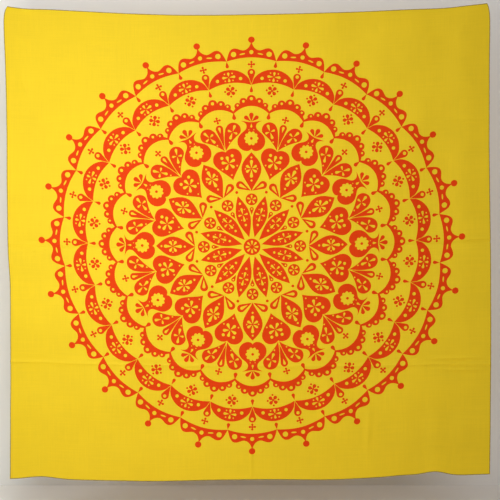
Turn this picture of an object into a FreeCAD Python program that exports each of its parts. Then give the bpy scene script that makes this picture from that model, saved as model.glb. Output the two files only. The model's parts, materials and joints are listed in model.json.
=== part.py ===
import FreeCAD, Part
import math
import os
import Sketcher

# A printed cotton wall hanging: one near-square sheet of cloth with a narrow double-fold hem on all
# four sides, lockstitched, and three level storage creases that cut it into four equal quarters.
# The frame: +Z up, +X to the right of someone facing the printed side, which faces -Y. The origin is
# the middle of the top edge, in the middle of the cloth's thickness, and the cloth hangs below it.
# Each quarter hinges on the one above along a crease, so the cloth, hems and threads are cut there.

# alias: (size in millimetres or a plain count, meaning)
SIZES = {
    "cloth_width": (1180.0, "finished width, edge to edge"),
    "cloth_height": (1150.0, "finished height, edge to edge"),
    "cloth_thickness": (0.45, "one layer of plain-weave cotton"),
    "quarter_count": (4.0, "quarters, one above the other, between the storage creases"),
    "crease_gap": (1.0, "slit between two quarters, where the crease bends"),
    "hem_width": (7.0, "edge of the cloth to the inner fold of the hem"),
    "stitch_inset": (5.2, "edge of the cloth to the row of stitches"),
    "thread_radius": (0.15, "half the thickness of the sewing thread"),
    "thread_groove_width": (0.4, "dent that the bobbin thread is pulled down into"),
}

# The quarters from the top down, with the hem that closes the top or the bottom one.
QUARTERS = ("top", "upper", "lower", "bottom")

# A hem's section is drawn across the edge of the cloth, x going inwards and y to the back, and is
# then turned about Y: x to +X on the left, -X on the right, -Z at the top and +Z at the bottom.
TURN_LEFT = 0.0
TURN_RIGHT = 180.0
TURN_TOP = 90.0
TURN_BOTTOM = -90.0

# Expressions that more than one sub-part shares.
HALF_THICKNESS = "sizes.cloth_thickness / 2"
EDGE_ROLL = "sizes.cloth_thickness * 1.5"
QUARTER_HEIGHT = "sizes.cloth_height / sizes.quarter_count"
HEM_BACK = "3 * sizes.cloth_thickness"
THREAD_BED = f"{HEM_BACK} - sizes.thread_radius"


def add_sizes(document):
    """Puts the driving dimensions in a spreadsheet, one aliased cell each."""
    sheet = document.addObject("Spreadsheet::Sheet", "sizes")
    for row, (alias, (value, meaning)) in enumerate(SIZES.items(), start=1):
        sheet.set(f"A{row}", meaning)
        sheet.set(f"B{row}", str(value))
        sheet.setAlias(f"B{row}", alias)
    document.recompute()


def place(piece, across, back, up, turn=0.0):
    """Turns a sub-part about Y and ties its position to three expressions."""
    upright = FreeCAD.Rotation(FreeCAD.Vector(0, 1, 0), turn)
    piece.Placement = FreeCAD.Placement(FreeCAD.Vector(0, 0, 0), upright)
    piece.setExpression("Placement.Base.x", across)
    piece.setExpression("Placement.Base.y", back)
    piece.setExpression("Placement.Base.z", up)


def add_body(document, label):
    """Makes an empty body, named and labelled alike."""
    body = document.addObject("PartDesign::Body", label)
    body.Label = label
    return body


def add_sketch(body, purpose, plane_role):
    """Makes an empty sketch on one of the body's own origin planes."""
    sketch = body.newObject("Sketcher::SketchObject", f"{body.Name}_{purpose}")
    plane = [feature for feature in body.Origin.OriginFeatures if feature.Role == plane_role][0]
    sketch.AttachmentSupport = (plane, "")
    sketch.MapMode = "FlatFace"
    return sketch


def extrude_both_ways(body, kind, sketch, length):
    """Pads or pockets a sketch to both sides of its plane; kind is Pad or Pocket."""
    feature = body.newObject(f"PartDesign::{kind}", f"{body.Name}_{kind.lower()}")
    feature.Profile = sketch
    feature.SideType = "Symmetric"
    feature.setExpression("Length", length)


def tie_point(sketch, curve, end, across, up):
    """Ties one point of a sketch curve to its distances from the sketch's origin."""
    drawn = sketch.getPoint(curve, end)
    for direction, start, expression in (("DistanceX", drawn.x, across), ("DistanceY", drawn.y, up)):
        dimension = Sketcher.Constraint(direction, -1, 1, curve, end, start)
        index = sketch.addConstraint(dimension)
        sketch.setExpression(f"Constraints[{index}]", expression)


def join_ends(sketch, joins):
    """Makes curve ends meet; each join is (curve, end, next curve, its end)."""
    for join in joins:
        sketch.addConstraint(Sketcher.Constraint("Coincident", *join))


def draw_rectangle(sketch, near, far):
    """Draws a rectangle tied by expressions at its near and its far corner, each (across, up)."""
    corners = [FreeCAD.Vector(x, y, 0) for x, y in ((1, 1), (9, 1), (9, 5), (1, 5))]
    for corner, following in zip(corners, corners[1:] + corners[:1]):
        sketch.addGeometry(Part.LineSegment(corner, following), False)
    join_ends(sketch, [(0, 2, 1, 1), (1, 2, 2, 1), (2, 2, 3, 1), (3, 2, 0, 1)])
    for line, direction in enumerate(("Horizontal", "Vertical", "Horizontal", "Vertical")):
        sketch.addConstraint(Sketcher.Constraint(direction, line))
    tie_point(sketch, 0, 1, *near)
    tie_point(sketch, 1, 2, *far)


def add_panel(document, name, index):
    """The flat cloth of one quarter, inside the rolled edges of its hems."""
    body = add_body(document, f"{name}_panel")
    sketch = add_sketch(body, "outline", "XZ_Plane")
    above = EDGE_ROLL if index == 0 else "sizes.crease_gap / 2"
    below = EDGE_ROLL if index == len(QUARTERS) - 1 else "sizes.crease_gap / 2"
    width = f"sizes.cloth_width - 2 * {EDGE_ROLL}"
    draw_rectangle(sketch, ("0", "0"), (width, f"{QUARTER_HEIGHT} - {above} - {below}"))
    extrude_both_ways(body, "Pad", sketch, "sizes.cloth_thickness")
    place(body, f"-({width}) / 2", "0", f"-{index + 1} * {QUARTER_HEIGHT} + {below}")
    return body


def add_hem(document, label, length, across, up, turn):
    """A double-fold hem: a half-round outer edge, two layers behind the panel, a round inner fold.

    The section starts at the cloth's front face. The outer roll takes in three layers, so its
    radius is one and a half thicknesses, and the inner fold takes in two, so its radius is one.
    The bobbin thread lies in a shallow groove along the back, level with the hem's surface.
    """
    thickness = "sizes.cloth_thickness"
    inner = f"sizes.hem_width - {thickness}"
    body = add_body(document, label)
    sketch = add_sketch(body, "section", "XY_Plane")
    face = FreeCAD.Vector(0, 0, 1)
    roll = Part.Circle(FreeCAD.Vector(0.75, 0.75, 0), face, 0.75)
    fold = Part.Circle(FreeCAD.Vector(6.5, 1, 0), face, 0.5)
    sketch.addGeometry(Part.ArcOfCircle(roll, math.pi / 2, 3 * math.pi / 2), False)
    sketch.addGeometry(Part.ArcOfCircle(fold, -math.pi / 2, math.pi / 2), False)
    for start, end in (((0.75, 1.5), (6.5, 1.5)), ((6.5, 0.5), (0.75, 0.5)), ((0.75, 0.5), (0.75, 0))):
        line = Part.LineSegment(FreeCAD.Vector(*start, 0), FreeCAD.Vector(*end, 0))
        sketch.addGeometry(line, False)
    join_ends(sketch, [(0, 1, 2, 1), (2, 2, 1, 2), (1, 1, 3, 1), (3, 2, 4, 1), (4, 2, 0, 2)])
    tie_point(sketch, 0, 3, EDGE_ROLL, EDGE_ROLL)
    tie_point(sketch, 1, 3, inner, f"2 * {thickness}")
    tie_point(sketch, 4, 1, EDGE_ROLL, thickness)
    sketch.addConstraint(Sketcher.Constraint("Vertical", 4))
    for curve, end in ((0, 1), (1, 1), (1, 2)):
        sketch.addConstraint(Sketcher.Constraint("Vertical", curve, end, curve, 3))
    for curve, drawn, radius in ((0, roll.Radius, EDGE_ROLL), (1, fold.Radius, thickness)):
        index = sketch.addConstraint(Sketcher.Constraint("Radius", curve, drawn))
        sketch.setExpression(f"Constraints[{index}]", radius)
    extrude_both_ways(body, "Pad", sketch, length)

    groove = add_sketch(body, "groove", "XY_Plane")
    half_groove = "sizes.thread_groove_width / 2"
    near = (f"sizes.stitch_inset - {half_groove}", THREAD_BED)
    draw_rectangle(groove, near, (f"sizes.stitch_inset + {half_groove}", HEM_BACK))
    extrude_both_ways(body, "Pocket", groove, length)
    place(body, across, f"-{HALF_THICKNESS}", up, turn)
    return body


def add_thread(document, label, length, across, up, turn):
    """One row of lockstitch: the top thread on the front face, the bobbin thread on the hem's back."""
    rows = []
    for row, facing, depth in (("back", 0.0, THREAD_BED), ("front", 180.0, "0")):
        bead = document.addObject("Part::Cylinder", f"{label}_{row}")
        bead.Angle = 180.0
        bead.setExpression("Radius", "sizes.thread_radius")
        bead.setExpression("Height", length)
        turned = FreeCAD.Rotation(FreeCAD.Vector(0, 0, 1), facing)
        bead.Placement = FreeCAD.Placement(FreeCAD.Vector(0, 0, 0), turned)
        bead.setExpression("Placement.Base.x", "sizes.stitch_inset")
        bead.setExpression("Placement.Base.y", depth)
        bead.setExpression("Placement.Base.z", f"-({length}) / 2")
        rows.append(bead)
    pair = document.addObject("Part::Compound", label)
    pair.Label = label
    pair.Links = rows
    place(pair, across, f"-{HALF_THICKNESS}", up, turn)
    return pair


def add_side_edges(document, name, index):
    """The left and right hem of one quarter, each with its stitches."""
    above = "sizes.hem_width" if index == 0 else "sizes.crease_gap / 2"
    below = "sizes.hem_width" if index == len(QUARTERS) - 1 else "sizes.crease_gap / 2"
    length = f"{QUARTER_HEIGHT} - {above} - {below}"
    middle = f"-{index + 0.5} * {QUARTER_HEIGHT} + ({below} - {above}) / 2"
    edges = []
    for side, across, turn in (
        ("left", "-sizes.cloth_width / 2", TURN_LEFT),
        ("right", "sizes.cloth_width / 2", TURN_RIGHT),
    ):
        edges.append(add_hem(document, f"{side}_hem_{name}", length, across, middle, turn))
        edges.append(add_thread(document, f"{side}_thread_{name}", length, across, middle, turn))
    return edges


def add_cross_edges(document):
    """The hem along the top of the cloth and the one along its bottom, each with its stitches."""
    edges = []
    row_length = "sizes.cloth_width - 2 * sizes.stitch_inset"
    for side, up, turn in (("top", "0", TURN_TOP), ("bottom", "-sizes.cloth_height", TURN_BOTTOM)):
        edges.append(add_hem(document, f"{side}_hem", "sizes.cloth_width", "0", up, turn))
        edges.append(add_thread(document, f"{side}_hem_thread", row_length, "0", up, turn))
    return edges


def build(document):
    """Builds every sub-part and returns the ones that are written out."""
    add_sizes(document)
    pieces = []
    for index, name in enumerate(QUARTERS):
        pieces.append(add_panel(document, name, index))
        pieces.extend(add_side_edges(document, name, index))
    pieces.extend(add_cross_edges(document))
    document.recompute()
    return pieces


def check(document, pieces):
    """Stops the script if an object failed, a sketch is loose or a sub-part isn't a valid solid."""
    for item in document.Objects:
        if "Invalid" in item.State or "Error" in item.State:
            raise RuntimeError(f"{item.Label} failed: {item.State}")
        if item.TypeId == "Sketcher::SketchObject" and not item.FullyConstrained:
            raise RuntimeError(f"{item.Label} isn't fully constrained")
    for piece in pieces:
        if piece.Shape.isNull() or not piece.Shape.isValid() or piece.Shape.Volume <= 0:
            raise RuntimeError(f"{piece.Label} has no valid solid")


def write(pieces):
    """Writes one STEP file for each sub-part, named after its label."""
    os.makedirs("parts", exist_ok=True)
    for piece in pieces:
        piece.Shape.exportStep(f"parts/{piece.Label}.step")


hanging = FreeCAD.newDocument("wall_hanging")
parts = build(hanging)
check(hanging, parts)
write(parts)
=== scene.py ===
"""The looks of a printed cotton wall hanging, held up by its top corners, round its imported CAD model.

The cloth is worked out flat first: across is measured from its upright middle line and up from its
top edge, both in metres, so up is negative. drape() then hangs any flat point in the room.
"""

import json
import math
import bpy
import numpy as np
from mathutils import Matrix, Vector
from mathutils.geometry import delaunay_2d_cdt


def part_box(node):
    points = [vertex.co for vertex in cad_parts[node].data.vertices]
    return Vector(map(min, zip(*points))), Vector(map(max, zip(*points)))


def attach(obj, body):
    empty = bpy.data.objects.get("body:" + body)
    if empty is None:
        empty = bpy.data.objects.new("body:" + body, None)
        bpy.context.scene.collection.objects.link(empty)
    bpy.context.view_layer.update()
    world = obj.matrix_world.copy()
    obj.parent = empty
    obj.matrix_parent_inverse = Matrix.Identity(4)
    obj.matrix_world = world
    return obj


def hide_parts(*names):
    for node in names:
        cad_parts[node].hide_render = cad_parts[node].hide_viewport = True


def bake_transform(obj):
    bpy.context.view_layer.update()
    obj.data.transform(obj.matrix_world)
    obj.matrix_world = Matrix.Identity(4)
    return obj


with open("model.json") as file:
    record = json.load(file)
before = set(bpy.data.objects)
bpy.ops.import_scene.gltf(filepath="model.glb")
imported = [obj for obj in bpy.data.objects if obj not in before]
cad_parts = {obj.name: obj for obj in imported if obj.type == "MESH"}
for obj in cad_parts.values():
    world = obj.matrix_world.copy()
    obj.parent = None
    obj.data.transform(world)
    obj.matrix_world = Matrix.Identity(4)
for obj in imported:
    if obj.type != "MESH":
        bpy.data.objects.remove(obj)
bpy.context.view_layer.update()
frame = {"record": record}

MM = 0.001

# ---------------- sizes, all read from the frame
TOP_HEM_LOW, TOP_HEM_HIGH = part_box("top_hem")
BOTTOM_HEM_LOW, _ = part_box("bottom_hem")
PANEL_LOW, PANEL_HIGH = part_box("upper_panel")
WIDTH = TOP_HEM_HIGH[0] - TOP_HEM_LOW[0]
HEIGHT = TOP_HEM_HIGH[2] - BOTTOM_HEM_LOW[2]
HEM_WIDTH = TOP_HEM_HIGH[2] - TOP_HEM_LOW[2]
LAYER = PANEL_HIGH[1] - PANEL_LOW[1]
THREAD_LOW, THREAD_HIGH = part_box("left_thread_upper")
STITCH_INSET = (THREAD_LOW[0] + THREAD_HIGH[0]) / 2 - TOP_HEM_LOW[0]
THREAD_RADIUS = (THREAD_HIGH[0] - THREAD_LOW[0]) / 2
# The outer fold of the hem is rounded with this radius. The flat sheet ends where the round starts.
EDGE_ROLL = 1.5 * LAYER
HALF_SHEET = WIDTH / 2 - EDGE_ROLL
SHEET_LOW = -HEIGHT + EDGE_ROLL
SHEET_HIGH = -EDGE_ROLL

FOLDS = {joint["name"]: joint for joint in frame["record"]["behaviour"]["joints"]}
FOLD_ORDER = ("fold_upper", "fold_middle", "fold_lower")
CREASES = [FOLDS[name]["pos_m"][2] for name in FOLD_ORDER]
# A crease stands out on the side away from its hinge: 1 towards the back, -1 towards the front.
CREASE_SIDES = [-math.copysign(1.0, FOLDS[name]["pos_m"][1]) for name in FOLD_ORDER]
# The cloth was folded by eye, so each crease lies a little off its hinge: (at the left, at the right).
CREASE_DRIFT = ((0.012, 0.008), (-0.008, -0.006), (0.0, -0.0165))
UPRIGHT_CREASE = 0.005
# The mesh is finest this far up and down the cloth from each hinge.
BEND_REACH = 0.009
FINE_STEP = 0.0015
COARSE_STEP = 0.0055

# Each zone of cloth crosses one crease and is cut halfway between two creases.
CUTS = [0.0, (CREASES[0] + CREASES[1]) / 2, (CREASES[1] + CREASES[2]) / 2, -HEIGHT]
ZONES = ("upper", "middle", "lower")


# ---------------- how the cloth hangs
# The trial sheet for Blender's cloth: its points each way, its width once pushed together as a share
# of the full width, and the frames that it gets to settle.
DRAPE_POINTS = 41
DRAPE_SLACK = 0.9985
DRAPE_FRAMES = 60
# The soft depth taken from it. All soft depths together stay within a limit that is lowest at a hinge.
SOFT_DEPTH = 0.004
DEPTH_LIMIT = 0.0085
ROOM_AT_HINGE = 0.0006
ROOM_GROWTH = 0.11

# A pressed crease is sharp at its line and swells softly beside it. The upright one is weaker.
CREASE_SHARP = (0.0006, 0.0014, 0.0022)
SHARP_REACH = 0.0032
CREASE_SWELL = 0.0006
SWELL_REACH = 0.014
UPRIGHT_SHARP = 0.0005
UPRIGHT_SHARP_REACH = 0.003
UPRIGHT_SWELL = 0.0004
UPRIGHT_SWELL_REACH = 0.015
TURN_OVER_REACH = 0.02

# The cloth sags between its corners, most at the top, rises to the right and stretches by its weight.
# Here and below, fades and the places and lengths of steps are shares of the height.
SAG_TOP = 0.023
SAG_BELOW = 0.0078
SAG_FADE = 0.22
TILT_TOP = 0.0037
TILT_BOTTOM = 0.0060
HANGING_STRETCH = 1.0012

# Level waves of the top and bottom edges: (across, rise, half-width), in metres.
TOP_WAVES = (
    (-0.180, -0.0024, 0.170),
    (-0.540, -0.0022, 0.040),
    (0.480, -0.0022, 0.060),
)
BOTTOM_WAVES = (
    (0.455, 0.0105, 0.036),
    (0.385, 0.0045, 0.050),
    (-0.512, 0.0078, 0.046),
    (-0.240, -0.0030, 0.110),
    (0.190, -0.0030, 0.090),
)
TOP_WAVE_FADE = 0.06
# Where the bottom edge rises, it also comes forwards by this share of the rise.
WAVE_FORWARDS = 0.45
# The left edge stands out below the hand that holds it, and steps inwards halfway down.
LEFT_GRIP_OUT = 0.0085
LEFT_GRIP_LENGTH = 0.16
LEFT_STEP_IN = 0.0055
LEFT_STEP_AT = 0.545
LEFT_STEP_LENGTH = 0.035
RIGHT_IN_ABOVE = 0.0034
RIGHT_STEP_AT = 0.42
RIGHT_STEP_LENGTH = 0.12
SWAY = 0.0014
# The hands gather the top corners, (side, how far inwards, how far down), and bring them forwards.
CORNER_PINCH = ((-1, 0.0105, 0.012), (1, 0.0085, 0.014))
CORNER_FORWARDS = 0.003
CORNER_REACH = 0.05
# Soft upright folds: (across, depth, half-width, how far the foot leans over).
UPRIGHT_FOLDS = (
    (-0.535, -0.0016, 0.026, 0.02),
    (-0.470, 0.0013, 0.030, 0.03),
    (0.530, -0.0014, 0.028, -0.02),
    (0.455, 0.0013, 0.030, -0.02),
    (0.180, -0.0012, 0.070, 0.00),
    (-0.200, 0.0012, 0.080, 0.00),
)
# Short wrinkles: (start across, start up, end across, end up, depth, half-width).
WRINKLES = (
    (-0.425, -0.077, -0.284, -0.093, -0.0010, 0.0030),
    (-0.562, -0.137, -0.528, -0.245, -0.0014, 0.0080),
    (0.400, -0.863, 0.590, -0.862, -0.0024, 0.0035),
    (0.440, -0.889, 0.595, -0.893, -0.0024, 0.0035),
    (0.300, -0.882, 0.480, -0.880, 0.0008, 0.0040),
    (0.294, -0.925, 0.287, -1.130, -0.0017, 0.0075),
    (0.500, -0.574, 0.595, -0.571, -0.0016, 0.0030),
    (-0.560, -0.600, -0.480, -0.592, 0.0007, 0.0050),
    (-0.588, -0.870, -0.540, -0.866, 0.0009, 0.0035),
    (0.005, -1.060, 0.005, -1.146, -0.0008, 0.0035),
    (-0.120, -0.012, -0.105, -0.050, 0.0006, 0.0080),
    (0.300, -0.012, 0.330, -0.070, 0.0006, 0.0080),
    (0.540, -0.030, 0.490, -0.110, -0.0008, 0.0090),
    (-0.575, -0.030, -0.520, -0.120, 0.0009, 0.0090),
)
# A wrinkle fades out over this share of its length, each way from its middle.
WRINKLE_FADE = 0.42
# Faint ripples from washing and pressing: (wavelength, depth), with several directions for each.
RIPPLES = ((0.19, 0.0007), (0.11, 0.0004), (0.065, 0.00018), (0.038, 0.00007))
RIPPLE_DIRECTIONS = 5
RIPPLE_SEED = 7


def bell(distance, half_width):
    """A smooth hump of height one."""
    return np.exp(-((distance / half_width) ** 2))


def fall_off(distance, reach):
    """One at a line or a corner, and less and less away from it."""
    return np.exp(-np.abs(distance) / reach)


def each_side(offsets):
    """Every offset on one side of a line and then on the other, and a zero offset once."""
    return [side * offset for offset in offsets for side in ((-1, 1) if offset else (1,))]


def add_object(name, data):
    """A new object of the scene."""
    thing = bpy.data.objects.new(name, data)
    bpy.context.collection.objects.link(thing)
    return thing


def point_from(thing, place, target):
    """Puts a light or the camera at a place and turns it towards another."""
    thing.location = place
    thing.rotation_euler = (Vector(target) - Vector(place)).to_track_quat("-Z", "Y").to_euler()


def simulate_drape():
    """Hangs a coarse sheet by its top corners with Blender's cloth, and returns its depth on a grid."""
    size = DRAPE_POINTS
    points = []
    for up in np.linspace(0.0, -HEIGHT, size):
        for across in np.linspace(-WIDTH / 2, WIDTH / 2, size):
            start_depth = SOFT_DEPTH * math.sin(5.3 * across + 0.8) * math.sin(3.1 * up - 0.5)
            points.append((across * DRAPE_SLACK, start_depth, up))
    faces = []
    for row in range(size - 1):
        for column in range(size - 1):
            corner = row * size + column
            faces.append((corner, corner + 1, corner + size + 1, corner + size))
    mesh = bpy.data.meshes.new("drape_trial")
    mesh.from_pydata(points, [], faces)
    trial = add_object("drape_trial", mesh)
    held = trial.vertex_groups.new(name="held")
    for corner, inwards in ((0, 1), (size - 1, -1)):
        held.add([corner, corner + inwards, corner + size], 1.0, "REPLACE")
    cloth = trial.modifiers.new("cloth", "CLOTH")
    cloth.settings.vertex_group_mass = "held"
    cloth.settings.quality = 6
    cloth.settings.mass = 0.15
    cloth.settings.tension_stiffness = 40
    cloth.settings.compression_stiffness = 40
    cloth.settings.shear_stiffness = 3
    cloth.settings.bending_stiffness = 0.4
    cloth.settings.air_damping = 4
    for number in range(1, DRAPE_FRAMES + 1):
        bpy.context.scene.frame_set(number)
    hung = trial.evaluated_get(bpy.context.evaluated_depsgraph_get())
    flat = np.empty(len(hung.data.vertices) * 3)
    hung.data.vertices.foreach_get("co", flat)
    depth = flat.reshape(size, size, 3)[:, :, 1]
    bpy.data.objects.remove(trial)
    bpy.data.meshes.remove(mesh)
    bpy.context.scene.frame_set(1)
    return depth


def spline_weights(place):
    """The four uniform cubic B-spline weights at a fraction of a cell."""
    return (
        (1 - place) ** 3 / 6,
        (3 * place**3 - 6 * place**2 + 4) / 6,
        (-3 * place**3 + 3 * place**2 + 3 * place + 1) / 6,
        place**3 / 6,
    )


def read_grid(grid, across, up):
    """Reads a smooth surface off a grid that spans the cloth, with its rows from the top down."""
    rows, columns = grid.shape
    edge = 1.0001  # keeps a place on the far edge inside the last cell
    x = np.clip((across / WIDTH + 0.5) * (columns - 1), 0, columns - edge)
    y = np.clip(-up / HEIGHT * (rows - 1), 0, rows - edge)
    column, row = x.astype(int), y.astype(int)
    along, down = spline_weights(x - column), spline_weights(y - row)
    total = np.zeros(len(across))
    for i in range(4):
        near_row = np.clip(row + i - 1, 0, rows - 1)
        for j in range(4):
            total += down[i] * along[j] * grid[near_row, np.clip(column + j - 1, 0, columns - 1)]
    return total


def crease_line(number, across):
    """How far up the flat cloth a level crease lies, at each place across."""
    left, right = CREASE_DRIFT[number]
    return CREASES[number] + left + (right - left) * (across / WIDTH + 0.5)


def room_to_move(height):
    """The most that the soft cloth may stand proud, so that two folded quarters clear each other."""
    from_hinge = np.min([np.abs(height - crease) for crease in CREASES], axis=0)
    return np.minimum(DEPTH_LIMIT, ROOM_AT_HINGE + ROOM_GROWTH * from_hinge)


def small_ripples(across, up):
    """Faint unevenness all over: a few sine waves in seeded directions."""
    chance = np.random.default_rng(RIPPLE_SEED)
    total = np.zeros(len(across))
    for wavelength, depth in RIPPLES:
        for _ in range(RIPPLE_DIRECTIONS):
            angle, phase = chance.uniform(0, 2 * math.pi, 2)
            along = (across * math.cos(angle) + up * math.sin(angle)) * 2 * math.pi / wavelength
            total += depth * np.sin(along + phase) / 2
    return total


def wrinkle_depth(across, up):
    """All the short wrinkles, each a ridge along a line that fades out at its ends."""
    total = np.zeros(len(across))
    for x0, z0, x1, z1, depth, half_width in WRINKLES:
        length = math.hypot(x1 - x0, z1 - z0)
        ax, az = (x1 - x0) / length, (z1 - z0) / length
        along = ((across - x0) * ax + (up - z0) * az) / length
        aside = (across - x0) * az - (up - z0) * ax
        total += depth * bell(aside, half_width) * bell(along - 0.5, WRINKLE_FADE) ** 2
    return total


def crease_depth(across, up):
    """The pressed ridges of the storage folds. The upright one changes sides at each level one."""
    total = np.zeros(len(across))
    turn_over = np.ones(len(across))
    for number, side in enumerate(CREASE_SIDES):
        above = up - crease_line(number, across)
        uneven = 0.85 + 0.15 * np.sin(across * 23 + number * 4) * np.sin(across * 7.1)
        sharp = CREASE_SHARP[number] * fall_off(above, SHARP_REACH)
        total += side * uneven * (sharp + CREASE_SWELL * fall_off(above, SWELL_REACH))
        turn_over = turn_over * np.tanh(above / TURN_OVER_REACH)
    aside = across - UPRIGHT_CREASE
    stronger_below = 0.25 + 0.75 * np.clip(-up / HEIGHT, 0, 1) ** 3
    sharp = UPRIGHT_SHARP * fall_off(aside, UPRIGHT_SHARP_REACH)
    ridge = sharp + UPRIGHT_SWELL * fall_off(aside, UPRIGHT_SWELL_REACH)
    return total + ridge * stronger_below * turn_over


def depth_of_cloth(across, up, height):
    """How far the middle of the cloth lies in front of (-) or behind (+) a flat sheet."""
    soft = read_grid(HUNG_GRID, across, up)
    down = -up / HEIGHT
    for place, depth, half_width, lean in UPRIGHT_FOLDS:
        fade = 0.35 + 0.65 * np.abs(np.cos(math.pi * (down * 1.3 + place)))
        soft += depth * fade * bell(across - place - lean * down, half_width)
    for place, rise, half_width in BOTTOM_WAVES:
        near_end = np.clip(down, 0, 1) ** 5
        soft -= WAVE_FORWARDS * rise * bell(across - place, half_width * 0.9) * near_end
    for side in (-1, 1):
        from_corner = np.hypot(across - side * WIDTH / 2, up)
        soft -= CORNER_FORWARDS * fall_off(from_corner, CORNER_REACH)
    soft += small_ripples(across, up)
    limit = room_to_move(height)
    return limit * np.tanh(soft / limit) + crease_depth(across, up) + wrinkle_depth(across, up)


def sideways_shift(share, down):
    """How far the hands and the hang of the cloth move a point sideways."""
    fall = down * HEIGHT
    leftness = np.clip((1 - share) / 2, 0, 1) ** 3
    rightness = np.clip((1 + share) / 2, 0, 1) ** 3
    below_left_step = 0.5 * (1 + np.tanh((down - LEFT_STEP_AT) / LEFT_STEP_LENGTH))
    above_right_step = 0.5 * (1 - np.tanh((down - RIGHT_STEP_AT) / RIGHT_STEP_LENGTH))
    shift = -LEFT_GRIP_OUT * bell(fall, LEFT_GRIP_LENGTH) * leftness
    shift += LEFT_STEP_IN * below_left_step * leftness
    shift -= RIGHT_IN_ABOVE * above_right_step * rightness
    for side, pinch, length in CORNER_PINCH:
        shift -= side * pinch * fall_off(fall, length) * np.clip(side * share, 0, 1) ** 16
    return shift + SWAY * np.sin(2 * math.pi * (down - 0.5)) - SWAY * down**2


def drape(across, up):
    """Hangs flat points in the room and returns their places, as rows of x, y and z."""
    across, up = np.asarray(across, float), np.asarray(up, float)
    share = 2 * across / WIDTH
    down = np.clip(-up / HEIGHT, 0, 1)
    sag = SAG_BELOW + (SAG_TOP - SAG_BELOW) * fall_off(down, SAG_FADE)
    tilt = TILT_TOP + (TILT_BOTTOM - TILT_TOP) * down
    height = up * HANGING_STRETCH - sag * (1 - share**2) + tilt * share
    for place, rise, half_width in TOP_WAVES:
        height += rise * bell(across - place, half_width) * fall_off(down, TOP_WAVE_FADE)
    for place, rise, half_width in BOTTOM_WAVES:
        height += rise * bell(across - place, half_width) * down**6
    sideways = across + sideways_shift(share, down)
    return np.column_stack((sideways, depth_of_cloth(across, up, height), height))


def drape_with_back(across, up):
    """Places of flat points, and the unit direction out of the cloth's back at each."""
    nudge = 0.0004
    here = drape(across, up)
    sideways = drape(across + nudge, up) - drape(across - nudge, up)
    upwards = drape(across, up + nudge) - drape(across, up - nudge)
    back = np.cross(upwards, sideways)
    return here, back / np.linalg.norm(back, axis=1, keepdims=True)


# ---------------- the print, flat and in millimetres
# Points of a motif are complex numbers: the real part runs clockwise round the ring and the
# imaginary part runs outwards from the middle of the print. Angles are in degrees.
PRINT_ACROSS = 0.0068
PRINT_UP = -0.579
PRINT_SQUASH = 0.989

# The soft cloth bags down between the hands, so the print's middle sits lower than its rim does.
PRINT_RIM = 513.0
SIDES_ABOVE_MIDDLE = 14.0
ENDS_ABOVE_MIDDLE = 7.0

# A ring of twelve or twenty-four motifs is turned by this to stand between those of another ring.
BETWEEN_12 = 15.0
BETWEEN_24 = 7.5

artwork = []


def paint(outline, ink=True):
    """Adds one closed shape over what is already there: ink, or bare cloth. It runs anticlockwise."""
    outline = np.asarray(outline, complex)
    area = np.sum(np.conj(outline) * np.roll(outline, -1)).imag / 2
    artwork.append((outline if area > 0 else outline[::-1], ink))


def points_for(radius, growth, most):
    """How many points a round stretch gets: more on a larger one."""
    return int(np.clip(radius * growth + 6, 7, most))


def circle(middle, radius, points=0):
    """A round spot, or the edge of a disc."""
    points = points or points_for(radius, 1.6, 26)
    return middle + radius * np.exp(2j * math.pi * np.arange(points) / points)


def drop(tip, bulb, radius):
    """A teardrop: a point at tip, and a round end centred on bulb."""
    towards_tip = tip - bulb
    open_angle = math.acos(min(0.999, radius / abs(towards_tip)))
    sweep = np.linspace(open_angle, 2 * math.pi - open_angle, points_for(radius, 1.3, 20))
    round_end = bulb + radius * np.exp(1j * sweep) * towards_tip / abs(towards_tip)
    return np.concatenate(([tip], round_end))


def curve(start, pull_1, pull_2, end, points):
    """A cubic curve, without its last point."""
    t = np.linspace(0, 1, points, endpoint=False)
    return start * (1 - t) ** 3 + 3 * pull_1 * t * (1 - t) ** 2 + 3 * pull_2 * t**2 * (1 - t) + end * t**3


def mirrored(right_half):
    """Closes an outline from its right half, which runs from the top of the middle line to its foot."""
    left_half = -np.conj(right_half[::-1])
    return np.concatenate((right_half, left_half[np.abs(left_half.real) > 0.01]))


def leaf(foot, tip, half_width, widest):
    """A pointed leaf along the middle line, widest at a share of its length."""
    share = np.linspace(0, 1, 12)
    width = half_width * np.sin(math.pi * share ** (math.log(0.5) / math.log(widest)))
    return mirrored(width[::-1] + 1j * (foot + (tip - foot) * share[::-1]))


def pellet(middle, half_length, half_width, lean=0.0):
    """A short rounded dash."""
    turn = np.arange(14) / 14 * 2 * math.pi
    return middle + (half_length * np.cos(turn) + 1j * half_width * np.sin(turn)) * np.exp(1j * lean)


def bent_drop(tip, bulb, radius, bow):
    """A teardrop whose narrow part is bowed to the left of the way from its tip to its bulb."""
    plain_drop = drop(tip, bulb, radius)
    share = np.linspace(0.15, 0.85, 5)
    first_side = tip + (plain_drop[1] - tip) * share
    last_side = plain_drop[-1] + (tip - plain_drop[-1]) * share
    outline = np.concatenate(([tip], first_side, plain_drop[1:], last_side))
    axis = bulb - tip
    along = np.clip(((outline - tip) / axis).real, 0, 1)
    return outline + bow * 4 * along * (1 - along) * 1j * axis / abs(axis)


def scalloped(middle, radius, bumps, depth):
    """A disc with a bumpy edge."""
    turn = np.arange(bumps * 6) / (bumps * 6) * 2 * math.pi
    return middle + radius * (1 + depth * np.abs(np.cos(bumps * turn / 2))) * np.exp(1j * turn)


def both(outline):
    """The outline and its mirror image across the middle line."""
    outline = np.asarray(outline, complex)
    return [outline, -np.conj(outline[::-1])]


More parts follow.
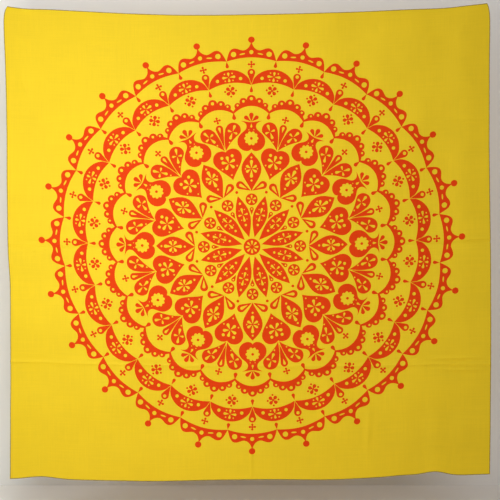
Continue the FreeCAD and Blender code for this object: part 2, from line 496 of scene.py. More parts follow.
def flower(middle, petals, start=1.4, turned=1.0):
    """Petals of drops round a middle. Each petal is (degrees from outwards, reach, radius)."""
    shapes = []
    for degrees, reach, radius in petals:
        direction = 1j * turned * np.exp(-1j * math.radians(degrees))
        shapes.append(drop(middle + start * direction, middle + reach * direction, radius))
    return shapes


def small_cross(middle, radius):
    """A small cross of four round-ended arms."""
    arm = radius * 0.31
    arms = [(90 * k, radius - arm, arm) for k in range(4)]
    return flower(middle, arms, start=0.1) + [circle(middle, arm)]


def at(degrees, radius):
    """A point round the ring, by its angle from the motif's own middle line."""
    return 1j * radius * np.exp(-1j * math.radians(degrees))


def ring(count, motif, turned=0.0):
    """Repeats a motif round the middle of the print. A motif is a list of (outline, ink)."""
    for number in range(count):
        turn = np.exp(-1j * math.radians(turned + 360 * number / count))
        for outline, ink in motif:
            paint(np.asarray(outline, complex) * turn, ink)


def inks(*outlines):
    """Shapes to print."""
    return [(outline, True) for outline in outlines]


def bare(*outlines):
    """Shapes left unprinted inside printed ones."""
    return [(outline, False) for outline in outlines]


def draw_middle():
    """The middle disc, its ring of petals and the discs between them."""
    paint(circle(0, 20.5, 40))
    ring(8, bare(drop(4.0j, 13.0j, 2.6)))

    petal = inks(leaf(24.5, 130, 17, widest=0.52))
    petal += bare(*flower(82j, [(0, 14, 3), (180, 14, 3), (90, 9.5, 2.4), (270, 9.5, 2.4)]))
    petal += bare(circle(110.5j, 3), circle(56j, 3))
    petal += bare(*[circle(x + 1j * r, 1.4) for x in (-6.5, 6.5) for r in (94, 70)])
    ring(12, petal, turned=BETWEEN_12)

    between = inks(drop(79.5j, 93.6j, 5.0)) + bare(circle(93.8j, 2.0))
    between += inks(circle(117.5j, 14.7))
    between += bare(*flower(117.5j, [(72 * k, 9.0, 2.4) for k in range(5)]))
    ring(12, between)
    ring(12, inks(circle(139.5j, 3.6)), turned=BETWEEN_12)


def draw_leaves():
    """The twelve broad leaves, each with a pair of drops at its foot."""
    broad = inks(leaf(138, 234, 24.5, widest=0.57))
    petals = [(0, 18.0, 4.0), (180, 18.0, 4.0)] + [(k, 12, 3.3) for k in (58, 122, 238, 302)]
    broad += bare(*flower(193j, petals))
    broad += bare(circle(164j, 2.6), circle(221j, 2.5))
    broad += bare(*[circle(x + 193j, 1.8) for x in (-14.5, 14.5)])
    broad += inks(*both(drop(1.5 + 139j, 28.0 + 152.8j, 9.8)))
    broad += bare(*both(drop(11 + 144j, 26.5 + 152.4j, 3.9)))
    ring(12, broad)


def draw_hearts():
    """The twelve heart shapes, the paired drops over them and the crosses."""
    half = np.concatenate((
        curve(242j, 6 + 250j, 33 + 252j, 36 + 226j, 10),
        curve(36 + 226j, 36 + 207j, 12 + 192j, 171j, 9),
        [171j],
    ))
    heart = inks(mirrored(half))
    heart += bare(*flower(214j, [(72 * k, 14, 3.7) for k in range(5)]))
    heart += bare(*[circle(x + 230j, 3.8) for x in (-13, 13)])
    heart += bare(*[circle(x + 203j, 2.0) for x in (-18.5, 18.5)])
    heart += bare(circle(184j, 2.0))

    bulb, tip = 32.2 + 290.2j, 1.4 + 245j
    inwards = (tip - bulb) / abs(tip - bulb)
    blossom = bulb + 5.5 * inwards
    petals = [(0, 15.2, 3.4), (180, 15.2, 3.4), (90, 9.8, 2.7), (270, 9.8, 2.7)]
    heart += inks(*both(bent_drop(tip, bulb, 18.4, 3.5)))
    for outline in flower(blossom, petals, turned=-1j * inwards):
        heart += bare(*both(outline))
    heart += bare(*both(circle(bulb + 33 * inwards + 1.8, 2.0)))
    heart += inks(drop(252j, 301j, 9)) + bare(drop(290j, 302j, 3.3))
    heart += inks(*small_cross(322j, 9.0))
    ring(12, heart, turned=BETWEEN_12)


def draw_bulbs():
    """The twelve plain bulb shapes with a scalloped rosette, and the three drops on top of each."""
    half = np.concatenate((
        curve(308j, 8 + 308j, 17 + 311j, 26 + 311j, 4),
        curve(26 + 311j, 16 + 308j, 11.5 + 304j, 11.5 + 297j, 5),
        curve(11.5 + 297j, 11.5 + 284j, 34 + 282j, 34 + 260j, 9),
        curve(34 + 260j, 34 + 238j, 6 + 230j, 243j, 9),
        [243j],
    ))
    bulb = inks(mirrored(half))
    bulb += bare(scalloped(268j, 14.0, 10, 0.26)) + inks(circle(268j, 3.4))
    bulb += bare(drop(305j, 297j, 2.6))
    bulb += bare(*[circle(x + 289j, 1.3) for x in (-6, 6)])
    bulb += inks(drop(309j, 326j, 5.5))
    bulb += inks(*both(drop(1 + 309.5j, 13 + 319.5j, 4.9)))
    ring(12, bulb)


def draw_lace():
    """The lace ring, the flowers outside it and the crescents."""
    share = np.linspace(-1, 1, 13)
    inner = [at(BETWEEN_24 * s, 348 - 17 * s**2) for s in share]
    outer = [at(BETWEEN_24 * s, 362 - 25 * abs(s) ** 2.4) for s in share[::-1]]
    lace = inks(inner + outer)
    for degrees, radius, size, hole_radius, hole in (
        (0.0, 363.8, 11.2, 366.0, 4.1),
        (3.1, 358.6, 9.8, 360.0, 3.3),
        (5.5, 349.2, 8.0, 351.0, 2.6),
    ):
        for turn in each_side([degrees]):
            lace += inks(circle(at(turn, radius), size))
            lace += bare(circle(at(turn, hole_radius), hole))
    ring(24, lace)
    ring(24, inks(drop(334j, 321j, 4.7)), turned=BETWEEN_24)

    diagonal = [(k, 8.6, 4.5) for k in (45, 135, 225, 315)]
    blossom = inks(circle(387.8j, 2.6), *flower(387.8j, diagonal, start=0.6))
    blossom += inks(*[circle(387.8j + 13.3j * 1j**k, 2.6) for k in range(4)])
    ring(24, blossom, turned=BETWEEN_24)

    inner = [at(BETWEEN_24 * s, 408 - 8 * s**2) for s in share]
    rounder = np.sin(np.linspace(-1, 1, 21) * math.pi / 2)
    outer = [at(BETWEEN_24 * s, 400 + 41 * (1 - s**2) ** 0.62) for s in rounder[-2:0:-1]]
    crescent = inks(inner + outer)
    petals = [(0, 9.2, 3.0), (180, 9.2, 3.0), (90, 13.0, 3.2), (270, 13.0, 3.2)]
    crescent += bare(*flower(422.5j, petals))
    crescent += bare(*[circle(x + y + 422.5j, 1.9) for x in (-9.5, 9.5) for y in (-8.5j, 9j)])
    crescent += bare(*[circle(at(side * 3.9, 417), 4.2) for side in (-1, 1)])
    ring(24, crescent, turned=BETWEEN_24)

    crest = inks(drop(398j, 385.5j, 4.1))
    crest += bare(drop(399j, 431j, 10.8)) + inks(drop(402j, 431j, 9.3)) + bare(circle(432j, 4.2))
    crest += inks(*small_cross(451.6j, 9.0))
    ring(24, crest)


def draw_crown():
    """The outermost ring of pointed arches with a ball on each."""
    half = np.concatenate((
        curve(509j, 2.5 + 500j, 6 + 489.5j, 18 + 486.5j, 6),
        curve(18 + 486.5j, 26 + 484.8j, 33 + 492j, 43 + 491.3j, 6),
        curve(43 + 491j, 54 + 489.5j, 57 + 474j, 60.4 + 458.4j, 7),
        curve(60.4 + 458.4j, 42 + 464.5j, 20 + 468.8j, 468.8j, 8),
        [468.8j],
    ))
    arch = inks(mirrored(half))
    arch += bare(*[circle(at(side * 5.2, 478), 6.6) for side in (-1, 1)])
    arch += bare(circle(482j, 5.2))
    for side in (-1, 1):
        arch += bare(pellet(at(side * 2.65, 477.6), 7.0, 1.9, lean=-side * math.radians(12)))
    arch += inks(circle(513j, 8.0))
    ring(24, arch)
    ring(24, inks(drop(462j, 449.5j, 4.2)), turned=BETWEEN_24)


# ---------------- the cloth, triangulated flat
FRONT, FRONT_INK, BACK, BACK_INK, EDGE = range(5)
# The painted shade along the border, which stands in for the shade of the rolled hem, is this wide.
EDGE_SHADE_WIDTH = 0.0013
# Rows of points lie this far from the line of a crease or wrinkle, and the even grid clears them.
RIDGE_ROWS = (0.0008, 0.0018, 0.0032, 0.0052)
RIDGE_CLEARANCE = RIDGE_ROWS[-1] + 0.001
GRID_CLEARANCE = COARSE_STEP * 0.4
BORDER_CLEARANCE = 0.001
PRINT_CLEARANCE = 0.0016
LINE_STEP = COARSE_STEP * 0.7
WRINKLE_STEP = COARSE_STEP * 0.8
HEIGHT_ROUNDS = 12
TOUCHING = 1e-6
MERGE_WITHIN = 1e-5


def lies_at_height(across, height):
    """How far up the flat cloth the points are that hang at a given height."""
    up = np.full(len(across), float(height))
    for _ in range(HEIGHT_ROUNDS):
        up += height - drape(across, up)[:, 2]
    return up


def wrinkle_lines():
    """The line of each short wrinkle: its middle, its direction and its reach each way from there."""
    lines = []
    for x0, z0, x1, z1, _, _ in WRINKLES:
        start, end = np.array((x0, z0)), np.array((x1, z1))
        length = np.linalg.norm(end - start)
        lines.append(((start + end) / 2, (end - start) / length, length * 0.7))
    return lines


def inside_sheet(points, margin):
    """Which points lie inside the flat sheet by more than a margin."""
    across, up = points[:, 0], points[:, 1]
    return (np.abs(across) < HALF_SHEET - margin) & (up > SHEET_LOW + margin) & (up < SHEET_HIGH - margin)


def clear_of_bends(grid):
    """Which points of the even grid lie clear of the border, bends, creases, wrinkles and cuts."""
    across, up = grid[:, 0], grid[:, 1]
    height = drape(across, up)[:, 2]
    clear = inside_sheet(grid, TOUCHING)
    for number, crease in enumerate(CREASES):
        clear &= np.abs(height - crease) > BEND_REACH + GRID_CLEARANCE
        clear &= np.abs(up - crease_line(number, across)) > RIDGE_CLEARANCE
    clear &= np.abs(across - UPRIGHT_CREASE) > RIDGE_ROWS[-1]
    for middle, along, reach in wrinkle_lines():
        offset = grid - middle
        beside = np.abs(offset[:, 0] * along[1] - offset[:, 1] * along[0])
        clear &= (beside > RIDGE_CLEARANCE) | (np.abs(offset @ along) > reach)
    for cut in CUTS[1:-1]:
        clear &= np.abs(up - cut) > GRID_CLEARANCE
    return clear


def bend_rows(row):
    """Fine rows that hang level round each hinge, left out where a crease's own rows run."""
    found = []
    for hinge in CREASES:
        for offset in np.arange(-BEND_REACH, BEND_REACH + TOUCHING, FINE_STEP):
            up = lies_at_height(row, hinge + offset)
            near_ridge = [np.abs(up - crease_line(k, row)) < RIDGE_ROWS[-1] for k in range(len(CREASES))]
            found.append(np.column_stack((row, up))[~np.any(near_ridge, axis=0)])
    return found


def ridge_rows(row, column):
    """Rows beside each crease and wrinkle, close enough to hold its sharp shape."""
    found = []
    for number in range(len(CREASES)):
        for offset in each_side(RIDGE_ROWS):
            found.append(np.column_stack((row, crease_line(number, row) + offset)))
    for offset in each_side((0.0,) + RIDGE_ROWS):
        found.append(np.column_stack((np.full(len(column), UPRIGHT_CREASE + offset), column)))
    for middle, along, reach in wrinkle_lines():
        steps = np.arange(-reach, reach, WRINKLE_STEP)
        aside = np.array((-along[1], along[0]))
        for offset in each_side((0.0,) + RIDGE_ROWS):
            found.append(middle + steps[:, None] * along + offset * aside)
    return found


def grid_points(outline_points):
    """Points that fill the cloth: an even grid, and closer rows where it bends, clear of the print."""
    columns = np.linspace(-HALF_SHEET, HALF_SHEET, int(2 * HALF_SHEET / COARSE_STEP) + 1)
    rows = np.linspace(SHEET_LOW, SHEET_HIGH, int((SHEET_HIGH - SHEET_LOW) / COARSE_STEP) + 1)
    grid = np.array([(across, up) for up in rows for across in columns])
    row, column = columns[1:-1], rows[1:-1]
    points = np.concatenate([grid[clear_of_bends(grid)], *bend_rows(row), *ridge_rows(row, column)])
    points = points[inside_sheet(points, BORDER_CLEARANCE)]

    printed = {(int(x), int(z)) for x, z in outline_points // PRINT_CLEARANCE}
    near_print = {(x + i, z + j) for x, z in printed for i in (-1, 0, 1) for j in (-1, 0, 1)}
    return points[[(int(x), int(z)) not in near_print for x, z in points // PRINT_CLEARANCE]]


def straight_line(start, end):
    """Even points along a line of the flat cloth."""
    count = max(1, round(math.dist(start, end) / LINE_STEP))
    share = np.linspace(0, 1, count + 1)[:, None]
    return np.array(start) * (1 - share) + np.array(end) * share


def box_of_lines(inset):
    """The four sides of the flat sheet, moved inwards."""
    across, low, high = HALF_SHEET - inset, SHEET_LOW + inset, SHEET_HIGH - inset
    corners = [(-across, low), (across, low), (across, high), (-across, high)]
    return [straight_line(start, end) for start, end in zip(corners, corners[1:] + corners[:1])]


def guide_lines():
    """Lines that the triangles follow: the border, the cuts, the creases and the inside of the painted edge
    shade.
    """
    lines = box_of_lines(0.0)
    for cut in CUTS[1:-1]:
        lines.append(straight_line((-HALF_SHEET, cut), (HALF_SHEET, cut)))
    for number in range(len(CREASES)):
        line = straight_line((-HALF_SHEET, 0), (HALF_SHEET, 0))
        line[:, 1] = crease_line(number, line[:, 0])
        lines.append(line)
    return lines + box_of_lines(EDGE_SHADE_WIDTH)


def place_on_cloth(outline):
    """Where the points of a motif fall on the flat cloth, as rows of across and up in metres."""
    bagged = SIDES_ABOVE_MIDDLE * (outline.real / PRINT_RIM) ** 2
    bagged += ENDS_ABOVE_MIDDLE * (outline.imag / PRINT_RIM) ** 2
    up = outline.imag * PRINT_SQUASH + bagged
    return np.column_stack((PRINT_ACROSS + outline.real * MM, PRINT_UP + up * MM))


def cloth_triangles():
    """Cuts the flat cloth into triangles that follow the print. Returns points, triangles and ink flags."""
    outlines = [place_on_cloth(outline) for outline, _ in artwork]
    points, faces, edges = [], [], []
    for outline in outlines:
        faces.append(list(range(len(points), len(points) + len(outline))))
        points += [Vector(point) for point in outline]
    for line in guide_lines():
        first = len(points)
        points += [Vector(point) for point in line]
        edges += [(first + k, first + k + 1) for k in range(len(line) - 1)]
    points += [Vector(point) for point in grid_points(np.concatenate(outlines))]

    places, _, triangles, _, _, owners = delaunay_2d_cdt(points, edges, faces, 0, MERGE_WITHIN, True)
    places, triangles = np.array(places), np.array(triangles)
    # The shape painted last covers the others, and says whether a triangle carries ink.
    ink = np.array([bool(owner) and artwork[max(owner)][1] for owner in owners])
    on_border = (
        np.abs(places[:, 0]) > HALF_SHEET - TOUCHING,
        places[:, 1] > SHEET_HIGH - TOUCHING,
        places[:, 1] < SHEET_LOW + TOUCHING,
    )
    slivers = np.any([np.all(border[triangles], axis=1) for border in on_border], axis=0)
    return places, triangles[~slivers], ink[~slivers]


def new_piece(name, points, faces, sharp_edges=()):
    """A smooth-shaded mesh object."""
    mesh = bpy.data.meshes.new(name)
    mesh.from_pydata([tuple(point) for point in points], [], faces)
    mesh.shade_smooth()
    if sharp_edges:
        sharp = mesh.attributes.new("sharp_edge", "BOOLEAN", "EDGE")
        lookup = {tuple(sorted(edge.vertices)): edge.index for edge in mesh.edges}
        for edge in sharp_edges:
            sharp.data[lookup[tuple(sorted(edge))]].value = True
    return add_object(name, mesh)


def set_flat_map(piece, flat):
    """Stores each point's place on the flat cloth, in metres, for the weave and the mottling."""
    layer = piece.data.uv_layers.new(name="flat_cloth")
    corners = np.empty(len(piece.data.loops), int)
    piece.data.loops.foreach_get("vertex_index", corners)
    layer.data.foreach_set("uv", np.asarray(flat, float)[corners].ravel())


def build_zone(name, low, high, places, triangles, ink):
    """One zone of cloth: its printed face, its plain back and the thin rims round it."""
    middle = places[triangles][:, :, 1].mean(axis=1)
    inside = (middle < high) & (middle > low)
    own, flags = triangles[inside], ink[inside]
    used, own = np.unique(own, return_inverse=True)
    own = own.reshape(-1, 3)
    flat = places[used]
    centre, back = drape_with_back(flat[:, 0], flat[:, 1])
    points = np.concatenate((centre - back * LAYER / 2, centre + back * LAYER / 2))
    count = len(flat)

    a, b, c = (flat[own[:, k]] for k in range(3))
    clockwise = np.cross(b - a, c - a) < 0
    own[clockwise] = own[clockwise][:, ::-1]
    directed = [(triangle[k], triangle[(k + 1) % 3]) for triangle in own for k in range(3)]
    known = set(directed)
    rim = [edge for edge in directed if edge[::-1] not in known]

    faces = [tuple(triangle) for triangle in own]
    faces += [tuple(triangle[::-1] + count) for triangle in own]
    faces += [(j, i, i + count, j + count) for i, j in rim]
    piece = new_piece(name, points, faces, rim + [(i + count, j + count) for i, j in rim])
    centroid = flat[own].mean(axis=1)
    from_side = HALF_SHEET - np.abs(centroid[:, 0])
    from_end = np.minimum(SHEET_HIGH - centroid[:, 1], centroid[:, 1] - SHEET_LOW)
    # Faces next to the border get the dark olive of painted shade, which stands in for the shade of the
    # rolled hem.
    in_edge_shade = np.minimum(from_side, from_end) < EDGE_SHADE_WIDTH
    kinds = np.concatenate((
        np.where(in_edge_shade, EDGE, np.where(flags, FRONT_INK, FRONT)),
        np.where(flags, BACK_INK, BACK),
        np.full(len(rim), FRONT),
    )).astype(np.int32)
    for material in CLOTH_MATERIALS:
        piece.data.materials.append(material)
    piece.data.polygons.foreach_set("material_index", kinds)
    set_flat_map(piece, np.concatenate((flat, flat)))
    return piece


# ---------------- the hems and their stitches
STITCH_PITCH = 0.003
STITCH_LENGTH = 0.0027
STITCH_SIDES = 5
# The rings of one stitch: where they lie as a share of half its length, then how full they are and
# how far they dip into the cloth as shares of the thread's radius.
STITCH_SHARES = (-1.0, -0.82, -0.3, 0.3, 0.82, 1.0)
STITCH_FULLNESS = (0.35, 0.85, 1.0, 1.0, 0.85, 0.35)
STITCH_DIPS = (0.75, 0.25, 0.0, 0.0, 0.25, 0.75)
STITCH_SLANT = 0.00005
BACK_SINK = 0.00004

SECTION_ARC = 8
HEM_STEP = 0.003
HEM_CLOSEST = 0.0004
HEM_FINE_STATIONS = 14
# The hem is a little uneven: its back rises and falls like rope, and its stitches draw the edge in.
ROPE_WAVES = ((0.00010, 0.0091), (0.00008, 0.0237))
DRAWN_IN = 0.00018
DRAWN_IN_LENGTH = 0.033


def hem_section():
    """The rolled edge seen end-on: (distance in from the edge, distance behind the cloth's middle)."""
    points = []
    for k in range(SECTION_ARC + 1):
        turn = math.pi * k / SECTION_ARC
        points.append((EDGE_ROLL * (1 - math.sin(turn)), LAYER - EDGE_ROLL * math.cos(turn)))
    for k in range(SECTION_ARC // 2 + 1):
        turn = math.pi * k / (SECTION_ARC // 2)
        points.append((HEM_WIDTH - LAYER * (1 - math.sin(turn)), LAYER * (1.5 + math.cos(turn))))
    points.append((EDGE_ROLL, LAYER / 2))
    return np.array(points)


# Where each edge of the flat cloth starts, which way it runs and which way is inwards.
EDGES = {
    "top": ((-WIDTH / 2, 0.0), (1.0, 0.0), (0.0, -1.0)),
    "bottom": ((-WIDTH / 2, -HEIGHT), (1.0, 0.0), (0.0, 1.0)),
    "left": ((-WIDTH / 2, 0.0), (0.0, -1.0), (1.0, 0.0)),
    "right": ((WIDTH / 2, 0.0), (0.0, -1.0), (-1.0, 0.0)),
}


def tube_faces(rings, size):
    """The faces of a closed tube of rings of equal size. The last two are its flat ends."""
    faces = []
    for ring_number in range(rings - 1):
        low, high = ring_number * size, (ring_number + 1) * size
        for k in range(size):
            j = (k + 1) % size
            faces.append((low + k, low + j, high + j, high + k))
    last = (rings - 1) * size
    return faces + [tuple(range(size - 1, -1, -1)), tuple(range(last, last + size))]


def hem_stations(start, end, upright):
    """Distances along an edge: even steps, and fine ones where the cloth bends."""
    count = max(2, int((end - start) / HEM_STEP))
    stations = list(np.linspace(start, end, count + 1))
    if upright:
        for crease in CREASES:
            near = range(-HEM_FINE_STATIONS, HEM_FINE_STATIONS + 1)
            stations += [-crease + k * FINE_STEP / 2 for k in near]
    stations = sorted(d for d in stations if start <= d <= end)
    kept = [stations[0]]
    for distance in stations[1:]:
        if distance - kept[-1] > HEM_CLOSEST:
            kept.append(distance)
    kept[-1] = end
    return np.array(kept)


def build_hem(name, side, start, end):
    """The folded edge along one side, swept over the hanging cloth from start to end."""
    origin, along, inwards = np.array(EDGES[side])
    stations = hem_stations(start, end, side in ("left", "right"))
    section = hem_section()
    size = len(section)
    chance = np.random.default_rng(len(side) * 11)
    phase = chance.uniform(0, 2 * math.pi, 3)
    turns = stations * 2 * math.pi
    rope = sum(depth * np.sin(turns / length + phase[k]) for k, (depth, length) in enumerate(ROPE_WAVES))
    drawn_in = DRAWN_IN * np.sin(turns / DRAWN_IN_LENGTH + phase[2]) ** 2
    # Only the outermost points of the section are drawn in, and only those at the back rise and fall.
    inset = section[None, :, 0] + drawn_in[:, None] * (section[None, :, 0] < EDGE_ROLL * 0.7)
    behind = section[None, :, 1] + rope[:, None] * (section[None, :, 1] > LAYER)
    flat = (origin + along * stations[:, None, None] + inset[:, :, None] * inwards).reshape(-1, 2)
    place, back = drape_with_back(flat[:, 0], flat[:, 1])
    points = place + back * behind.reshape(-1, 1)
    girth = np.concatenate(([0], np.cumsum(np.linalg.norm(np.diff(section, axis=0), axis=1))))
    flat_map = origin + along * stations[:, None, None] + girth[None, :, None] * inwards

    faces = tube_faces(len(stations), size)
    caps = faces[-2:]
    if along[0] * inwards[1] - along[1] * inwards[0] > 0:
        faces = [face[::-1] for face in faces]
    sharp = [(cap[k], cap[(k + 1) % size]) for cap in caps for k in range(size)]
    piece = new_piece(name, points, faces, sharp)
    piece.data.materials.append(HEM_MATERIAL)
    piece.data.materials.append(EDGE_SHADE_MATERIAL)
    # The faces round the roll, and the end caps, take the painted shade of the edge.
    shaded_roll = [int(k < SECTION_ARC) for _ in range(len(stations) - 1) for k in range(size)]
    piece.data.polygons.foreach_set("material_index", np.array(shaded_roll + [1, 1], np.int32))
    set_flat_map(piece, flat_map.reshape(-1, 2))
    return piece


def build_stitches(name, side, start, end):
    """The row of lockstitches that holds a hem: short rounded threads on the front and on the back."""
    origin, along, inwards = np.array(EDGES[side])
    count = int((end - start) / STITCH_PITCH)
    pitch = (end - start) / count
    middles = start + (np.arange(count) + 0.5) * pitch
    shares = np.array(STITCH_SHARES)
    dip = np.array(STITCH_DIPS) * THREAD_RADIUS
    around = np.arange(STITCH_SIDES) / STITCH_SIDES * 2 * math.pi
    chance = np.random.default_rng(len(side) * 17 + 3)
    chunks = []
    front = (middles, dip - LAYER / 2)
    behind = (middles[:-1] + pitch / 2, LAYER * 2.5 - BACK_SINK - dip)
    for row, level in (front, behind):
        slant = chance.normal(0, STITCH_SLANT, len(row))
        distance = row[:, None] + shares * STITCH_LENGTH / 2
        inset = STITCH_INSET + slant[:, None] * shares
        flat = origin + along * distance[:, :, None] + inset[:, :, None] * inwards
        place, back = drape_with_back(flat[:, :, 0].ravel(), flat[:, :, 1].ravel())
        back = back.reshape(len(row), len(shares), 3)
        centre = place.reshape(back.shape) + back * level[None, :, None]
        run = centre[:, -1:] - centre[:, :1]
        across = np.cross(back, run / np.linalg.norm(run, axis=2, keepdims=True))
        radius = THREAD_RADIUS * np.array(STITCH_FULLNESS)[None, :, None, None]
        spread = across[:, :, None] * np.cos(around)[:, None] + back[:, :, None] * np.sin(around)[:, None]
        chunks.append((centre[:, :, None] + radius * spread).reshape(-1, 3))
    points = np.concatenate(chunks)
    size = len(shares) * STITCH_SIDES
    one_stitch = tube_faces(len(shares), STITCH_SIDES)
    faces = [tuple(k + first for k in face) for first in range(0, len(points), size) for face in one_stitch]
    piece = new_piece(name, points, faces)
    piece.data.materials.append(THREAD_MATERIAL)
    return piece


# ---------------- colours and finishes
GROUND_YELLOW = (0.762, 0.520, 0.006)
PRINT_ORANGE = (0.680, 0.042, 0.001)
BACK_YELLOW = (0.800, 0.560, 0.060)
BACK_ORANGE = (0.790, 0.260, 0.030)
THREAD_YELLOW = (0.740, 0.500, 0.030)
# Painted shade: this dark olive stands in for the shade of the rolled hem along every edge.
EDGE_SHADE_OLIVE = (0.260, 0.172, 0.012)
# Noise on the flat cloth, in turns per metre: streaks for the yarns each way, and a broad mottle.
WARP_STREAKS = (420, 14, 1)
WEFT_STREAKS = (10, 420, 1)
MOTTLE_SCALE = 9.0
SLUB_CONTRAST = 0.035
YARN_BUMP = 0.35
YARN_HEIGHT = 0.0002


def add_link(tree, source, output, target, socket):
    """Joins one node's output to another's input."""
    tree.links.new(source.outputs[output], target.inputs[socket])


def add_noise(tree, coordinates, stretch, scale, detail):
    """A noise texture on the flat cloth, which may be stretched into streaks."""
    mapping = tree.nodes.new("ShaderNodeMapping")
    mapping.inputs["Scale"].default_value = stretch
    tree.links.new(coordinates, mapping.inputs["Vector"])
    noise = tree.nodes.new("ShaderNodeTexNoise")
    noise.inputs["Scale"].default_value = scale
    noise.inputs["Detail"].default_value = detail
    noise.inputs["Roughness"].default_value = 0.6
    add_link(tree, mapping, "Vector", noise, "Vector")
    return noise.outputs["Fac"]


def add_math(tree, operation, *sources):
    """A maths node that takes other nodes' outputs."""
    node = tree.nodes.new("ShaderNodeMath")
    node.operation = operation
    for number, source in enumerate(sources):
        tree.links.new(source, node.inputs[number])
    return node


def cotton(name, colour, roughness=0.72, shine=0.30):
    """Woven cotton: uneven yarns both ways, a slight mottle and a matt, faintly hairy surface."""
    material = bpy.data.materials.new(name)
    material.use_nodes = True
    tree = material.node_tree
    shader = tree.nodes["Principled BSDF"]
    shader.inputs["Roughness"].default_value = roughness
    shader.inputs["Specular IOR Level"].default_value = shine
    shader.inputs["Sheen Weight"].default_value = 0.02
    shader.inputs["Sheen Roughness"].default_value = 0.5
    flat_cloth = tree.nodes.new("ShaderNodeUVMap")
    flat_cloth.uv_map = "flat_cloth"
    place = flat_cloth.outputs["UV"]
    warp = add_noise(tree, place, WARP_STREAKS, scale=1.0, detail=3.0)
    weft = add_noise(tree, place, WEFT_STREAKS, scale=1.0, detail=3.0)
    mottle = add_noise(tree, place, (1, 1, 1), MOTTLE_SCALE, detail=4.0)

    yarns = add_math(tree, "ADD", warp, weft)
    together = add_math(tree, "ADD", yarns.outputs["Value"], mottle)
    average = add_math(tree, "MULTIPLY", together.outputs["Value"])
    average.inputs[1].default_value = 1 / 3

    ramp = tree.nodes.new("ShaderNodeValToRGB")
    low, high = ramp.color_ramp.elements
    low.position, high.position = 0.30, 0.70
    low.color = tuple(c * (1 - SLUB_CONTRAST * 2) for c in colour) + (1,)
    high.color = tuple(min(1, c * (1 + SLUB_CONTRAST * 2)) for c in colour) + (1,)
    add_link(tree, average, "Value", ramp, "Fac")
    add_link(tree, ramp, "Color", shader, "Base Color")

    bump = tree.nodes.new("ShaderNodeBump")
    bump.inputs["Strength"].default_value = YARN_BUMP
    bump.inputs["Distance"].default_value = YARN_HEIGHT
    add_link(tree, yarns, "Value", bump, "Height")
    add_link(tree, bump, "Normal", shader, "Normal")
    return material


HEM_MATERIAL = cotton("yellow cotton hem", GROUND_YELLOW)
# The rolled edge's material is painted shade, darker than the cotton round it.
EDGE_SHADE_MATERIAL = cotton("painted shade on rolled edge", EDGE_SHADE_OLIVE)
THREAD_MATERIAL = cotton("yellow sewing thread", THREAD_YELLOW, roughness=0.6)
# In the order of FRONT, FRONT_INK, BACK, BACK_INK and EDGE.
CLOTH_MATERIALS = (
    cotton("yellow cotton", GROUND_YELLOW),
    cotton("orange print", PRINT_ORANGE, roughness=0.75, shine=0.10),
    cotton("yellow cotton back", BACK_YELLOW),
    cotton("orange print showing through", BACK_ORANGE),
    EDGE_SHADE_MATERIAL,
)


HUNG_GRID = simulate_drape()
HUNG_GRID = HUNG_GRID - HUNG_GRID.mean()
HUNG_GRID *= SOFT_DEPTH / max(1e-6, np.abs(HUNG_GRID).max())

ZONE_QUARTERS = (("top", "upper"), ("upper", "lower"), ("lower", "bottom"))
ZONE_PANELS = [[f"{quarter}_panel" for quarter in pair] for pair in ZONE_QUARTERS]


def bend_at_crease(piece):
    """Bakes the piece's place into its mesh."""
    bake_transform(piece)


for draw in (draw_middle, draw_leaves, draw_hearts, draw_bulbs, draw_lace, draw_crown):
    draw()
PRINTED_SHEET = cloth_triangles()

zone_pieces = []
for number, zone in enumerate(ZONES):
    cloth = build_zone(f"cloth_{zone}", CUTS[number + 1], CUTS[number], *PRINTED_SHEET)
    bend_at_crease(cloth)
    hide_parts(*ZONE_PANELS[number])
    trimmings = []
    first = HEM_WIDTH if number == 0 else -CUTS[number]
    last = HEIGHT - HEM_WIDTH if number == 2 else -CUTS[number + 1]
    for side in ("left", "right"):
        hem = build_hem(f"{side}_hem_{zone}_zone", side, first, last)
        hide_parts(*[f"{side}_hem_{quarter}" for quarter in ZONE_QUARTERS[number]])
        thread = build_stitches(f"{side}_stitches_{zone}_zone", side, first, last)
        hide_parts(*[f"{side}_thread_{quarter}" for quarter in ZONE_QUARTERS[number]])
        for piece in (hem, thread):
            bend_at_crease(piece)
            trimmings.append(piece)
    zone_pieces.append((cloth, trimmings))

for side, body, number in (("top", "top_quarter", 0), ("bottom", "bottom_quarter", 2)):
    hem = build_hem(f"{side}_hem_cloth", side, 0.0, WIDTH)
    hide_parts(f"{side}_hem")
    thread = build_stitches(f"{side}_stitches", side, STITCH_INSET, WIDTH - STITCH_INSET)
    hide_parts(f"{side}_hem_thread")
    for piece in (hem, thread):
        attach(piece, body)
        zone_pieces[number][1].append(piece)


# ---------------- room, light and camera
WALL_COLOUR = (0.90, 0.89, 0.88)
FLOOR_COLOUR = (0.86, 0.83, 0.80)
WORLD_COLOUR = (0.95, 0.96, 1.0)
WORLD_STRENGTH = 0.18
WALL_BEHIND = 0.33
FLOOR_BELOW = -1.24
ROOM_SIDE = 4
ROOM_FRONT = -5
ROOM_TOP = 3

# Square soft lights: name, place, what each points at, size, power in watts, colour.
LIGHTS = (
    ("lamp", (-0.40, -1.05, -0.42), (-0.34, 0.0, -0.42), 0.5, 9.0, (0.95, 1.0, 0.90)),
    ("window", (-1.9, -1.5, 0.1), (-0.2, 0.0, -0.5), 0.8, 7, (0.97, 0.98, 1.0)),
    ("room", (1.2, -3.4, 0.9), (0.2, 0.0, -0.4), 2.4, 30, (1.0, 0.96, 0.92)),
    ("wall light", (-0.6, -0.3, 1.5), (-0.4, 0.33, 0.1), 0.8, 14, (1.0, 1.0, 1.0)),
    ("light from behind", (0.6, 2.8, 0.8), (0.0, 0.0, -0.6), 1.5, 22, (1.0, 1.0, 1.0)),
)


def plain(name, colour):
    """An even, matt wall or floor."""
    material = bpy.data.materials.new(name)
    material.use_nodes = True
    shader = material.node_tree.nodes["Principled BSDF"]
    shader.inputs["Base Color"].default_value = (*colour, 1)
    shader.inputs["Roughness"].default_value = 0.7
    return material


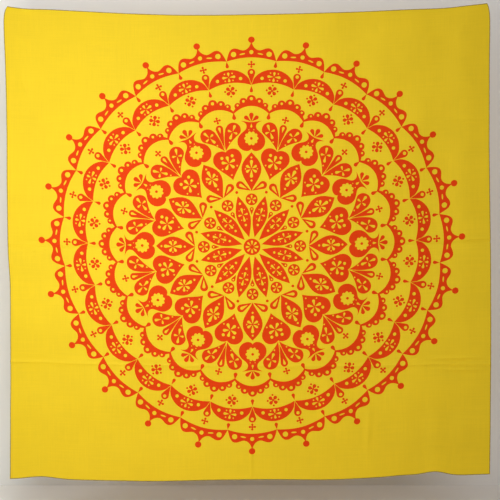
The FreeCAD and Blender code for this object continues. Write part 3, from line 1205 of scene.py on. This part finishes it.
def clear_from_behind(material):
    """Lets a view from behind the wall pass through it, so that it hides nothing."""
    tree = material.node_tree
    side = tree.nodes.new("ShaderNodeNewGeometry")
    clear = tree.nodes.new("ShaderNodeBsdfTransparent")
    choice = tree.nodes.new("ShaderNodeMixShader")
    add_link(tree, side, "Backfacing", choice, 0)
    add_link(tree, tree.nodes["Principled BSDF"], "BSDF", choice, 1)
    add_link(tree, clear, "BSDF", choice, 2)
    add_link(tree, choice, "Shader", tree.nodes["Material Output"], "Surface")
    return material


def room_plane(name, near, far, material):
    """One flat side of the stage, between two lines that run across at given (depth, height)."""
    corners = [(-ROOM_SIDE, *near), (ROOM_SIDE, *near), (ROOM_SIDE, *far), (-ROOM_SIDE, *far)]
    mesh = bpy.data.meshes.new(name)
    mesh.from_pydata(corners, [], [(0, 1, 2, 3)])
    mesh.materials.append(material)
    add_object(name, mesh)


def soft_light(name, place, target, size, power, colour):
    """A square light that points at a place and isn't seen itself."""
    data = bpy.data.lights.new(name, "AREA")
    data.shape = "SQUARE"
    data.size = size
    data.energy = power
    data.color = colour
    light = add_object(name, data)
    point_from(light, place, target)
    light.visible_camera = False


WALL_FOOT = (WALL_BEHIND, FLOOR_BELOW)
wall_material = clear_from_behind(plain("pale wall", WALL_COLOUR))
room_plane("wall", WALL_FOOT, (WALL_BEHIND, ROOM_TOP), wall_material)
room_plane("floor", (ROOM_FRONT, FLOOR_BELOW), WALL_FOOT, plain("pale floor", FLOOR_COLOUR))
for light_values in LIGHTS:
    soft_light(*light_values)

world = bpy.data.worlds.new("room")
world.use_nodes = True
background = world.node_tree.nodes["Background"]
background.inputs["Color"].default_value = (*WORLD_COLOUR, 1)
background.inputs["Strength"].default_value = WORLD_STRENGTH
bpy.context.scene.world = world
bpy.context.scene.view_settings.view_transform = "Standard"

# The camera stands far enough back for its picture to be VIEW_WIDTH wide at the cloth.
CAMERA_AWAY = 3.0
CAMERA_PITCH = math.radians(0.8)
VIEW_WIDTH = 1.2200
LOOK_AT = Vector((0.0016, 0.0, -0.5966))
SENSOR_WIDTH = 36

camera_data = bpy.data.cameras.new("camera")
camera_data.sensor_width = SENSOR_WIDTH
camera_data.lens = SENSOR_WIDTH * CAMERA_AWAY / VIEW_WIDTH
camera = add_object("camera", camera_data)
away = Vector((0, -math.cos(CAMERA_PITCH), math.sin(CAMERA_PITCH)))
point_from(camera, LOOK_AT + CAMERA_AWAY * away, LOOK_AT)
bpy.context.scene.camera = camera
